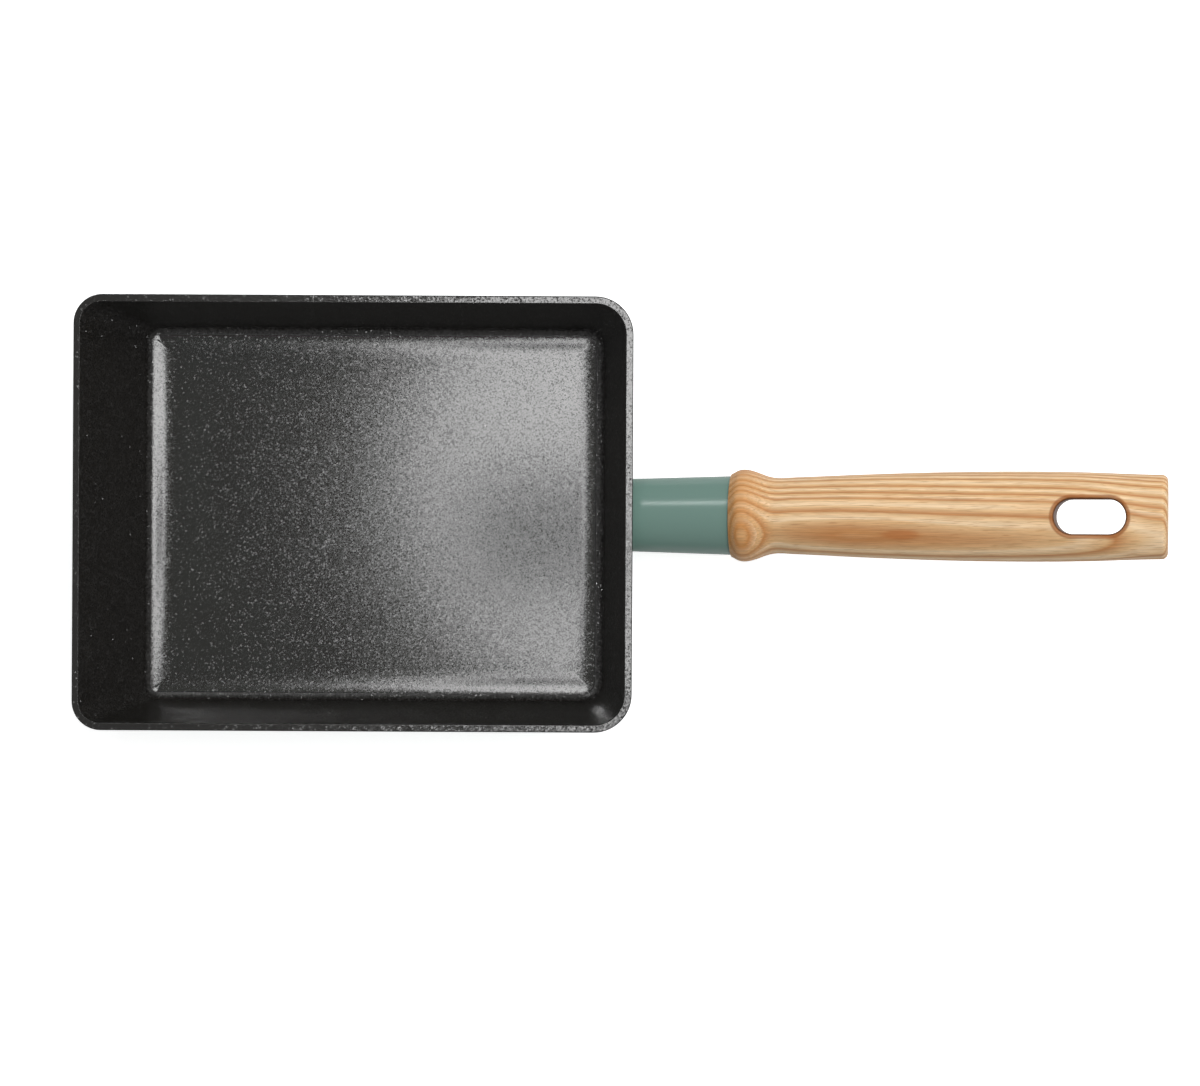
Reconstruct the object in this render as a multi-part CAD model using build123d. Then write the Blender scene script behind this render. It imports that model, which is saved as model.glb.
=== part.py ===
from build123d import *
from math import cos, pi, radians, sin, tan
import os

# A rectangular rolled-omelette pan: a cast aluminium pan with a lug on its rear wall, a sheet of
# magnetic steel pressed into its underside, an oval metal collar over the lug, and a wooden grip
# that a steel rod and one screw hold to the collar.
# +X runs from the pan to the grip's end, +Z is up, and the origin is on the underside, below the
# middle of the rim. All sizes are in millimetres and all angles in degrees.

# The pan
rim_length = 180.0
rim_width = 140.0
pan_height = 37.0
rim_front_corner_radius = 9.5
rim_rear_corner_radius = 12.4
base_front_corner_radius = 6.5
base_rear_corner_radius = 9.0
wall_width = 2.6
rim_edge_radius = 0.7
floor_thickness = 4.2
floor_front_corner_radius = 4.6
floor_rear_corner_radius = 6.6
floor_fillet_radius = 4.2
base_edge_radius = 5.0
front_draft = 30.5
rear_draft = 12.5
side_draft = 11.0

# The steel sheet in the underside, its holes filled by studs of the casting
plate_length = 118.0
plate_width = 94.0
plate_thickness = 0.7
plate_corner_radius = 12.0
plate_fit_clearance = 0.05
plate_hole_radius = 1.9
plate_hole_pitch = 9.0
plate_edge_margin = 7.0

# The handle's axis, which leaves the rear wall at this height and rises
handle_root_height = 21.0
handle_rise = 10.5

# The collar and the lug inside it
collar_front_width = 23.4
collar_front_height = 16.6
collar_rear_width = 25.8
collar_rear_height = 18.4
collar_length = 42.0
collar_wall = 2.0
collar_web_thickness = 3.0
collar_mouth_radius = 0.5
lug_length = 12.0
lug_clearance = 0.3

# The steel rod that clamps the collar to the lug and carries the grip
rod_thread_radius = 3.0
rod_thread_depth = 9.0
thread_clearance = 0.05
thread_relief = 1.0
web_hole_clearance = 0.25
hex_across_flats = 10.0
hex_thickness = 5.0
rod_shank_radius = 4.0
rod_reach = 46.0
rod_end_chamfer = 0.8

# The split washer under the rod's hexagon
washer_outer_radius = 5.3
washer_inner_radius = 3.15
washer_thickness = 1.5
washer_gap = 1.1

# The wooden grip
grip_length = 139.0
socket_depth = 6.0
socket_clearance = 0.2
lip_land = 0.5
lip_edge_radius = 0.4
bulge_width = 29.7
bulge_height = 24.2
bulge_at = 4.2
neck_width = 24.3
neck_height = 19.4
neck_at = 15.0
belly_width = 28.7
belly_height = 20.6
belly_at = 92.0
end_width = 26.7
end_height = 17.0
end_edge_radius = 2.0
grip_drop = 0.8
bore_clearance = 0.15
bore_relief = 3.0

# The hanging slot near the grip's end
slot_length = 22.4
slot_width = 11.0
slot_from_end = 24.2
slot_edge_radius = 1.0

# The screw that holds the grip on the rod, driven from below
screw_radius = 2.5
screw_at = 36.0
screw_reach = 3.2
screw_hole_clearance = 0.25
screw_head_radius = 4.5
screw_head_height = 2.6
screw_head_round = 1.4
wood_under_head = 2.2
recess_clearance = 0.25
cross_length = 5.2
cross_width = 1.1
cross_depth = 1.6
head_washer_radius = 5.2
head_washer_thickness = 1.0

# How far any cutting tool runs past what it cuts
overrun = 5.0

# Where the grip's sections lie, as shares of the stretch between its named stations, and how
# much sooner than evenly the neck grows into the belly
lip_to_bulge_shares = (0.0, 0.5)
bulge_to_neck_shares = (0.0, 0.25, 0.5, 0.75)
neck_to_belly_shares = (0.0, 0.05, 0.13, 0.25, 0.41, 0.6, 0.8)
belly_to_end_shares = (0.0, 0.5, 1.0)
neck_growth_power = 0.65


# Heights and places along the handle's axis, counted from the rear wall's outer face
def inset(height, draft):
    """How far a wall of this draft stands inside its rim at a height."""
    return (pan_height - height) * tan(radians(draft))


root_x = rim_length / 2 - inset(handle_root_height, rear_draft)
handle_axis = Vector(cos(radians(handle_rise)), 0, sin(radians(handle_rise)))
handle_up = Vector(-sin(radians(handle_rise)), 0, cos(radians(handle_rise)))
handle_root = Vector(root_x, 0, handle_root_height)
handle_plane = Plane(origin=handle_root, x_dir=(0, 1, 0), z_dir=handle_axis)

web_end = lug_length + collar_web_thickness
hex_start = web_end + washer_thickness
shank_start = hex_start + hex_thickness
grip_start = collar_length - socket_depth
rod_end = collar_length + rod_reach
screw_station = grip_start + screw_at
slot_station = grip_start + grip_length - slot_from_end
rod_bore_radius = rod_shank_radius + bore_clearance
screw_seat = rod_bore_radius + wood_under_head
plate_centre_x = (inset(0, front_draft) - inset(0, rear_draft)) / 2


def across(station):
    """Frame square to the handle's axis: X across the grip, Y up, Z along the axis."""
    return handle_plane.offset(station)


def upright(station, height=0.0):
    """Frame on the handle's axis whose Z points out of the grip's top."""
    origin = handle_root + handle_axis * station + handle_up * height
    return Plane(origin=origin, x_dir=handle_axis, z_dir=handle_up)


def cylinder_along(start, end, radius):
    """Round bar on the handle's axis from one station to another."""
    return extrude(across(start) * Circle(radius), end - start)


# The pan
def pan_outline(height, offset, front_radius, rear_radius):
    """Rounded rectangle of the walls at a height, moved in from the outer face by an offset."""
    front = inset(height, front_draft) + offset - rim_length / 2
    rear = rim_length / 2 - inset(height, rear_draft) - offset
    width = rim_width - 2 * (inset(height, side_draft) + offset)
    outline = Pos((front + rear) / 2, 0) * Rectangle(rear - front, width)
    outline = fillet(outline.vertices().group_by(Axis.X)[0], front_radius)
    outline = fillet(outline.vertices().group_by(Axis.X)[-1], rear_radius)
    return Plane.XY.offset(height) * outline


def pan_outside():
    """The casting's outer form as a solid block, rounded along its lower edge."""
    low = pan_outline(0, 0, base_front_corner_radius, base_rear_corner_radius)
    high = pan_outline(pan_height, 0, rim_front_corner_radius, rim_rear_corner_radius)
    block = loft([low, high], ruled=True)
    return fillet(block.edges().group_by(Axis.Z)[0], base_edge_radius)


def pan_cavity():
    """The space for the food, carried on past the rim so that it cuts cleanly."""
    floor_radii = (floor_front_corner_radius, floor_rear_corner_radius)
    rim_radii = (rim_front_corner_radius - wall_width, rim_rear_corner_radius - wall_width)
    rise = (pan_height + overrun - floor_thickness) / (pan_height - floor_thickness)
    high_radii = [low + (high - low) * rise for low, high in zip(floor_radii, rim_radii)]
    low = pan_outline(floor_thickness, wall_width, *floor_radii)
    high = pan_outline(pan_height + overrun, wall_width, *high_radii)
    space = loft([low, high], ruled=True)
    return fillet(space.edges().group_by(Axis.Z)[0], floor_fillet_radius)


def plate_hole_places():
    """Centres of the steel sheet's holes: a staggered field inside its margin."""
    reach_x = plate_length / 2 - plate_edge_margin
    reach_y = plate_width / 2 - plate_edge_margin
    row_pitch = plate_hole_pitch / 2
    rows = int(reach_y / row_pitch)
    columns = int(reach_x / row_pitch)
    return [
        (column * row_pitch, row * row_pitch)
        for row in range(-rows, rows + 1)
        for column in range(-columns, columns + 1)
        if (row + column) % 2 == 0
    ]


def plate_form(clearance, hole_radius):
    """The steel sheet, smaller all round by a clearance, with its holes."""
    outline = RectangleRounded(
        plate_length - 2 * clearance,
        plate_width - 2 * clearance,
        plate_corner_radius - clearance,
    )
    holes = [Pos(x, y) * Circle(hole_radius) for x, y in plate_hole_places()]
    return Pos(plate_centre_x, 0) * extrude(outline - holes, plate_thickness)


def pan_body():
    """The casting: floor, four drafted walls, the handle's lug and the studs in the steel sheet."""
    lug_section = oval(collar_size(0, collar_wall + lug_clearance))
    lug = extrude(across(-lug_length) * lug_section, 2 * lug_length)
    body = pan_outside() + lug - pan_cavity()
    body = fillet(body.edges().group_by(Axis.Z)[-1], rim_edge_radius)
    body -= plate_form(0, plate_hole_radius - plate_fit_clearance)
    hole_start = lug_length - rod_thread_depth - thread_relief
    hole = cylinder_along(hole_start, lug_length + overrun, rod_thread_radius + thread_clearance)
    return body - hole


def induction_plate():
    """The perforated steel sheet, flush with the underside."""
    return plate_form(plate_fit_clearance, plate_hole_radius)


# The collar
def collar_size(station, offset):
    """Width and height of the collar's oval at a station, moved in from its face by an offset."""
    share = station / collar_length
    width = collar_front_width + (collar_rear_width - collar_front_width) * share
    height = collar_front_height + (collar_rear_height - collar_front_height) * share
    return width - 2 * offset, height - 2 * offset


def oval(size):
    """Ellipse of a width and a height."""
    width, height = size
    return Ellipse(width / 2, height / 2)


def collar_form(start, end, offset):
    """Tapering oval bar between two stations, at an offset from the collar's outer face."""
    ends = [across(station) * oval(collar_size(station, offset)) for station in (start, end)]
    return loft(ends, ruled=True)


def handle_collar():
    """Oval sleeve that fits the rear wall's slope, with a web that bears on the lug's end."""
    collar = collar_form(-lug_length, collar_length, 0)
    collar = fillet(collar.edges().sort_by(Axis.X)[-1:], collar_mouth_radius)
    collar -= collar_form(-lug_length - overrun, lug_length, collar_wall)
    collar -= collar_form(web_end, collar_length + overrun, collar_wall)
    hole_radius = rod_thread_radius + web_hole_clearance
    collar -= cylinder_along(lug_length - overrun, web_end + overrun, hole_radius)
    return collar - pan_outside()


# The fastenings
def stay_rod():
    """Steel rod: threaded foot, hexagon, and a shank with a tapped cross hole."""
    rod = cylinder_along(lug_length - rod_thread_depth, hex_start, rod_thread_radius)
    hexagon = RegularPolygon(hex_across_flats / 2, 6, major_radius=False)
    rod += extrude(across(hex_start) * hexagon, hex_thickness)
    shank = cylinder_along(shank_start, rod_end, rod_shank_radius)
    rod += chamfer(shank.edges().sort_by(Axis.X)[-1:], rod_end_chamfer)
    reach = rod_shank_radius + overrun
    hole = upright(screw_station, -reach) * Circle(screw_radius + thread_clearance)
    return rod - extrude(hole, 2 * reach)


def lock_washer():
    """Split spring washer between the collar's web and the rod's hexagon."""
    ring = Circle(washer_outer_radius) - Circle(washer_inner_radius)
    gap = Pos(washer_outer_radius, 0) * Rectangle(2 * washer_outer_radius, washer_gap)
    return extrude(across(web_end) * (ring - gap), washer_thickness)


def grip_screw():
    """Pan-head screw that passes up through the wood into the rod."""
    head_base = -(screw_seat + head_washer_thickness)
    shank_length = screw_reach - head_base
    shank = extrude(upright(screw_station, head_base) * Circle(screw_radius), shank_length)
    head_top = upright(screw_station, head_base - screw_head_height)
    head = extrude(head_top * Circle(screw_head_radius), screw_head_height)
    head = fillet(head.edges().group_by(Axis.Z)[0], screw_head_round)
    slot = Rectangle(cross_length, cross_width) + Rectangle(cross_width, cross_length)
    return shank + head - extrude(head_top * slot, cross_depth)


def screw_washer():
    """Plain washer that spreads the screw's load on the wood."""
    ring = Circle(head_washer_radius) - Circle(screw_radius + screw_hole_clearance)
    face = upright(screw_station, -(screw_seat + head_washer_thickness))
    return extrude(face * ring, head_washer_thickness)


# The grip
def swell(share):
    """Step from 0 to 1 that ends level."""
    return sin(share * pi / 2)


def ease(share):
    """Step from 0 to 1 that starts and ends level."""
    return share * share * (3 - 2 * share)


def grow(share):
    """Step from 0 to 1 that starts and ends level and rises early."""
    return ease(share**neck_growth_power)


def fall(share):
    """Step from 0 to 1 that starts level."""
    return 1 - cos(share * pi / 2)


def grip_sections():
    """Ovals of the grip: each one's distance from the front end, its size and how far it drops."""
    lip = collar_size(grip_start, -(socket_clearance + lip_land))
    bulge = (bulge_width, bulge_height)
    neck = (neck_width, neck_height)
    belly = (belly_width, belly_height)
    rear = (end_width, end_height)
    stretches = (
        (0, bulge_at, lip, bulge, lip_to_bulge_shares, swell),
        (bulge_at, neck_at, bulge, neck, bulge_to_neck_shares, ease),
        (neck_at, belly_at, neck, belly, neck_to_belly_shares, grow),
        (belly_at, grip_length, belly, rear, belly_to_end_shares, fall),
    )
    for start, end, first, last, shares, blend in stretches:
        for share in shares:
            distance = start + (end - start) * share
            size = [a + (b - a) * blend(share) for a, b in zip(first, last)]
            past_neck = max(0, distance - neck_at) / (grip_length - neck_at)
            yield distance, size, grip_drop * sin(pi * past_neck) ** 2


def grip_form():
    """The grip's outer form: ovals that swell at the front, narrow to a neck and fill the palm."""
    sections = [
        across(grip_start + distance) * Pos(0, -drop) * oval(size)
        for distance, size, drop in grip_sections()
    ]
    form = loft(sections)
    return fillet(form.edges().group_by(Axis.X)[-1], end_edge_radius)


def wood_grip():
    """The turned and shaped ash grip with its socket, bore, screw recess and hanging slot."""
    grip = grip_form()
    reach = bulge_height
    slot = extrude(upright(slot_station, -reach) * SlotOverall(slot_length, slot_width), 2 * reach)
    slotted = grip - slot
    rims = new_edges(grip, slot, combined=slotted).filter_by(GeomType.LINE, reverse=True)
    grip = fillet(rims, slot_edge_radius)
    grip -= collar_form(grip_start - overrun, collar_length, -socket_clearance)
    grip -= cylinder_along(collar_length - overrun, rod_end + bore_relief, rod_bore_radius)
    recess = Circle(head_washer_radius + recess_clearance)
    grip -= extrude(upright(screw_station, -reach) * recess, reach - screw_seat)
    hole = Circle(screw_radius + screw_hole_clearance)
    grip -= extrude(upright(screw_station, -reach) * hole, reach)
    lip = grip.edges().group_by(Axis.X)[0].sort_by(SortBy.LENGTH)[-1:]
    return fillet(lip, lip_edge_radius)


parts = {
    "pan_body": pan_body,
    "induction_plate": induction_plate,
    "handle_collar": handle_collar,
    "stay_rod": stay_rod,
    "lock_washer": lock_washer,
    "wood_grip": wood_grip,
    "grip_screw": grip_screw,
    "screw_washer": screw_washer,
}

os.makedirs("parts", exist_ok=True)
for name, make in parts.items():
    export_step(make(), os.path.join("parts", name + ".step"))
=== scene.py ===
import bpy
import logging
from bpy.types import Material, Mesh, Node, NodeOutputs, NodeSocket, NodeTree, Object
from collections.abc import Iterable, Iterator
from dataclasses import dataclass
from enum import Enum, IntEnum
from math import cos, pi, radians, sin, tan
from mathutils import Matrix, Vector


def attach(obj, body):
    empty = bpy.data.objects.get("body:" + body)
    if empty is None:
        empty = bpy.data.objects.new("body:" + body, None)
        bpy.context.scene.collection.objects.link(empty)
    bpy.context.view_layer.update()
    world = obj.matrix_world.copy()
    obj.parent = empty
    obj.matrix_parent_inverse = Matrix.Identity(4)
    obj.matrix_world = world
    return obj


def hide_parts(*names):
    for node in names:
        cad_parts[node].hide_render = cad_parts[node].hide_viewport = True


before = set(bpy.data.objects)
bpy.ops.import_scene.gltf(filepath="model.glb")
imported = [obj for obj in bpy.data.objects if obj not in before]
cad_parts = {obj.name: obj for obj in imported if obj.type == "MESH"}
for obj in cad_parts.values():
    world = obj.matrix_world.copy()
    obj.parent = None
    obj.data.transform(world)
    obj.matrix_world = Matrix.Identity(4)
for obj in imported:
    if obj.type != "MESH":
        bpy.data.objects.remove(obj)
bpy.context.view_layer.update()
log = logging.getLogger("omelette_pan")

# Sizes are in millimetres and angles in degrees, and Blender's unit is the metre
MM = 0.001
Pair = tuple[float, float]
Triple = tuple[float, float, float]

# The two kinds of node that do sums, on numbers and on vectors
MATHS = "ShaderNodeMath"
VECTORS = "ShaderNodeVectorMath"

# Where the handle's axis leaves the rear wall, and how steeply it rises
HANDLE_ROOT = (86.45, 0.0, 21.0)
HANDLE_RISE = 10.5


def linear(code: str) -> tuple[float, float, float, float]:
    """Turn an sRGB hex colour into Blender's linear colour.

    Args:
        code: The colour as six hex digits after a hash sign.

    Returns:
        Red, green, blue and a full alpha.
    """
    shares = [int(code[place : place + 2], 16) / 255 for place in (1, 3, 5)]
    red, green, blue = (s / 12.92 if s <= 0.04045 else ((s + 0.055) / 1.055) ** 2.4 for s in shares)
    return red, green, blue, 1.0


def add_node(
    tree: NodeTree, kind: str, inputs: dict[str | int, object] | None = None, **settings: object
) -> Node:
    """Add a node to a tree, set its properties, and fill or link its inputs.

    Args:
        tree: The material's, world's or geometry's node tree.
        kind: Blender's name of the node's class.
        inputs: What each input gets, by the socket's name or place. A node gives its first live output.
        settings: The node's own properties.

    Returns:
        The new node.
    """
    node = tree.nodes.new(kind)
    for name, value in settings.items():
        setattr(node, name, value)
    for key, value in (inputs or {}).items():
        by_name = (socket for socket in node.inputs if socket.enabled and socket.name == key)
        socket = node.inputs[key] if isinstance(key, int) else next(by_name)
        if isinstance(value, Node):
            value = next(output for output in value.outputs if output.enabled)
        if isinstance(value, NodeSocket):
            tree.links.new(value, socket)
        else:
            socket.default_value = value
    return node


def add_steps(tree: NodeTree, kind: str, known: dict[str, object], steps: Iterable[tuple]) -> None:
    """Add nodes of one kind, each of which can take the ones before it.

    Args:
        tree: The tree that gets the nodes.
        kind: Blender's name of the nodes' class.
        known: Values by name, to which every step's node is added.
        steps: Each node's name, its operation and its inputs in order, as values or as names in known.
    """
    for name, operation, *terms in steps:
        inputs = {place: known.get(term, term) for place, term in enumerate(terms)}
        known[name] = add_node(tree, kind, inputs, operation=operation)


def put(name: str, data: object) -> Object:
    """Add an object with its data to the scene."""
    placed = bpy.data.objects.new(name, data)
    bpy.context.scene.collection.objects.link(placed)
    return placed


def grow(name: str, tree: NodeTree, values: dict[str, object], start: Mesh) -> Object:
    """Run a geometry tree once and keep what it makes as a plain mesh.

    Args:
        name: The piece's name.
        tree: The tree to run.
        values: The tree's inputs by name.
        start: The mesh that enters the tree.

    Returns:
        The piece, with no modifier left on it.
    """
    piece = put(name, start)
    modifier = piece.modifiers.new(name, "NODES")
    modifier.node_group = tree
    for item in tree.interface.items_tree:
        if item.name in values:
            modifier[item.identifier] = values[item.name]
    graph = bpy.context.evaluated_depsgraph_get()
    made = piece.evaluated_get(graph)
    mesh = bpy.data.meshes.new_from_object(made, preserve_all_data_layers=True, depsgraph=graph)
    piece.modifiers.remove(modifier)
    piece.data = mesh
    # The tree's output starts with an empty slot, which no face uses
    while mesh.materials and mesh.materials[0] is None:
        mesh.materials.pop(index=0)
    return piece


@dataclass(frozen=True)
class Noise:
    """A cloudy pattern drawn out along the object: its blots' length and width and its finer layers."""

    length: float
    width: float
    layers: float

    def spread(self, tree: NodeTree, place: Node) -> Node:
        """Lay the pattern over the object.

        Args:
            tree: The material's node tree.
            place: The node that gives the point in millimetres.

        Returns:
            The pattern's node.
        """
        often = (1 / self.length, 1 / self.width, 1 / self.width)
        drawn = add_node(tree, VECTORS, {0: place, 1: often}, operation="MULTIPLY")
        return add_node(tree, "ShaderNodeTexNoise", {"Vector": drawn, "Scale": 1.0, "Detail": self.layers})


@dataclass(frozen=True)
class Band:
    """How a mark fades in: where it starts to show, where it is full and how much it then covers."""

    start: float
    full: float
    most: float

    def mask(self, tree: NodeTree, value: object) -> Node:
        """Turn a value into how much the mark covers."""
        inputs = {"Value": value, "From Min": self.start, "From Max": self.full, "To Max": self.most}
        return add_node(tree, "ShaderNodeMapRange", inputs, interpolation_type="SMOOTHSTEP")


@dataclass(frozen=True)
class Finish:
    """A surface: its real name, base colour and gloss, from which a material is made."""

    name: str
    colour: str
    roughness: float
    metallic: float = 0.0
    ior: float = 1.5

    def material(self) -> Material:
        """Make the material: the plain values on the shader, then the finish's own detail."""
        material = bpy.data.materials.new(self.name)
        material.use_nodes = True
        tree = material.node_tree
        shader = tree.nodes["Principled BSDF"]
        shader.inputs["Base Color"].default_value = linear(self.colour)
        shader.inputs["Roughness"].default_value = self.roughness
        shader.inputs["Metallic"].default_value = self.metallic
        if self.metallic == 0:
            shader.inputs["IOR"].default_value = self.ior
        self.detail(tree, shader)
        return material

    def detail(self, tree: NodeTree, shader: Node) -> None:
        """Add what the eye sees beyond one colour.

        Args:
            tree: The material's node tree.
            shader: Its main shader.
        """

    def place(self, tree: NodeTree) -> Node:
        """Give the point on the object in millimetres."""
        point = add_node(tree, "ShaderNodeTexCoord").outputs["Object"]
        return add_node(tree, VECTORS, {0: point, "Scale": 1 / MM}, operation="SCALE")

    def emboss(self, tree: NodeTree, shader: Node, pattern: Node, height: float) -> None:
        """Raise the surface by a pattern, its full height given in millimetres."""
        bump = add_node(tree, "ShaderNodeBump", {"Height": pattern, "Distance": height * MM})
        tree.links.new(bump.outputs["Normal"], shader.inputs["Normal"])


@dataclass(frozen=True)
class MineralCoating(Finish):
    """Sprayed and baked ceramic non-stick: a clear glaze over near-black ground with grains of mica.

    The eye sees the lamps mirrored softly in the glaze, with edges that break up into specks. Each grain
    leans its own way, most of them a little and a few far, so that some sparkle outside the lamps' mirror
    image. The glaze over a grain follows a small share of its lean. Real grains are 0.1 to 0.3 mm wide and
    would blur into grey here, so they are drawn at about 0.4 mm.
    """

    grain: float = 0.38
    lean: float = 1.0
    lean_power: float = 2.0
    glaze_lean: float = 0.012
    ground_gloss: float = 0.85
    glaze_roughness: float = 0.12
    glaze_ior: float = 1.6

    def detail(self, tree: NodeTree, shader: Node) -> None:
        """Lay the glaze over the ground and lean the grains under it.

        Args:
            tree: The material's node tree.
            shader: Its main shader.
        """
        glaze = {"Coat Weight": 1.0, "Coat Roughness": self.glaze_roughness, "Coat IOR": self.glaze_ior}
        for name, value in {"Specular IOR Level": self.ground_gloss, **glaze}.items():
            shader.inputs[name].default_value = value
        inputs = {"Vector": self.place(tree), "Scale": 1 / self.grain}
        grains = add_node(tree, "ShaderNodeTexVoronoi", inputs)
        # A grain's colour is random in its three channels, and with a half taken off it is a way to lean
        terms = {0: grains.outputs["Color"], 1: (0.5, 0.5, 0.5)}
        way = add_node(tree, VECTORS, terms, operation="SUBTRACT")
        square = add_node(tree, VECTORS, {0: way, 1: way}, operation="DOT_PRODUCT")
        known = {"square": square.outputs["Value"]}
        rarer = ("rarer", "POWER", "square", self.lean_power)
        add_steps(tree, MATHS, known, (rarer, ("reach", "MULTIPLY", "rarer", self.lean)))
        normal = add_node(tree, "ShaderNodeNewGeometry").outputs["Normal"]
        for name, reach in (("Normal", known["reach"]), ("Coat Normal", self.glaze_lean)):
            tilt = add_node(tree, VECTORS, {0: way, "Scale": reach}, operation="SCALE")
            tilted = add_node(tree, VECTORS, {0: normal, 1: tilt}, operation="ADD")
            unit = add_node(tree, VECTORS, {0: tilted}, operation="NORMALIZE")
            tree.links.new(unit.outputs[0], shader.inputs[name])


@dataclass(frozen=True)
class SatinEnamel(Finish):
    """Sprayed and baked silicone enamel: an even colour with a faint orange peel in its satin."""

    peel: float = 0.5
    peel_layers: float = 2.0
    peel_height: float = 0.004

    def detail(self, tree: NodeTree, shader: Node) -> None:
        """Add the orange peel.

        Args:
            tree: The material's node tree.
            shader: Its main shader.
        """
        peel = Noise(self.peel, self.peel, self.peel_layers).spread(tree, self.place(tree))
        self.emboss(tree, shader, peel, self.peel_height)


@dataclass(frozen=True)
class RolledMetal(Finish):
    """Metal with parallel lines from rolling, turning or sanding, which break up its reflections.

    The real lines are about 0.1 mm apart and would not show, so they are drawn 0.35 mm apart.
    """

    lines: Noise = Noise(40.0, 0.35, 3.0)
    line_height: float = 0.003
    gloss_spread: float = 0.08

    def detail(self, tree: NodeTree, shader: Node) -> None:
        """Add the lines along the object's length.

        Args:
            tree: The material's node tree.
            shader: Its main shader.
        """
        lines = self.lines.spread(tree, self.place(tree))
        self.emboss(tree, shader, lines, self.line_height)
        low, high = (self.roughness + side * self.gloss_spread for side in (-1, 1))
        gloss = add_node(tree, "ShaderNodeMapRange", {"Value": lines, "To Min": low, "To Max": high})
        tree.links.new(gloss.outputs["Result"], shader.inputs["Roughness"])


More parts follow.
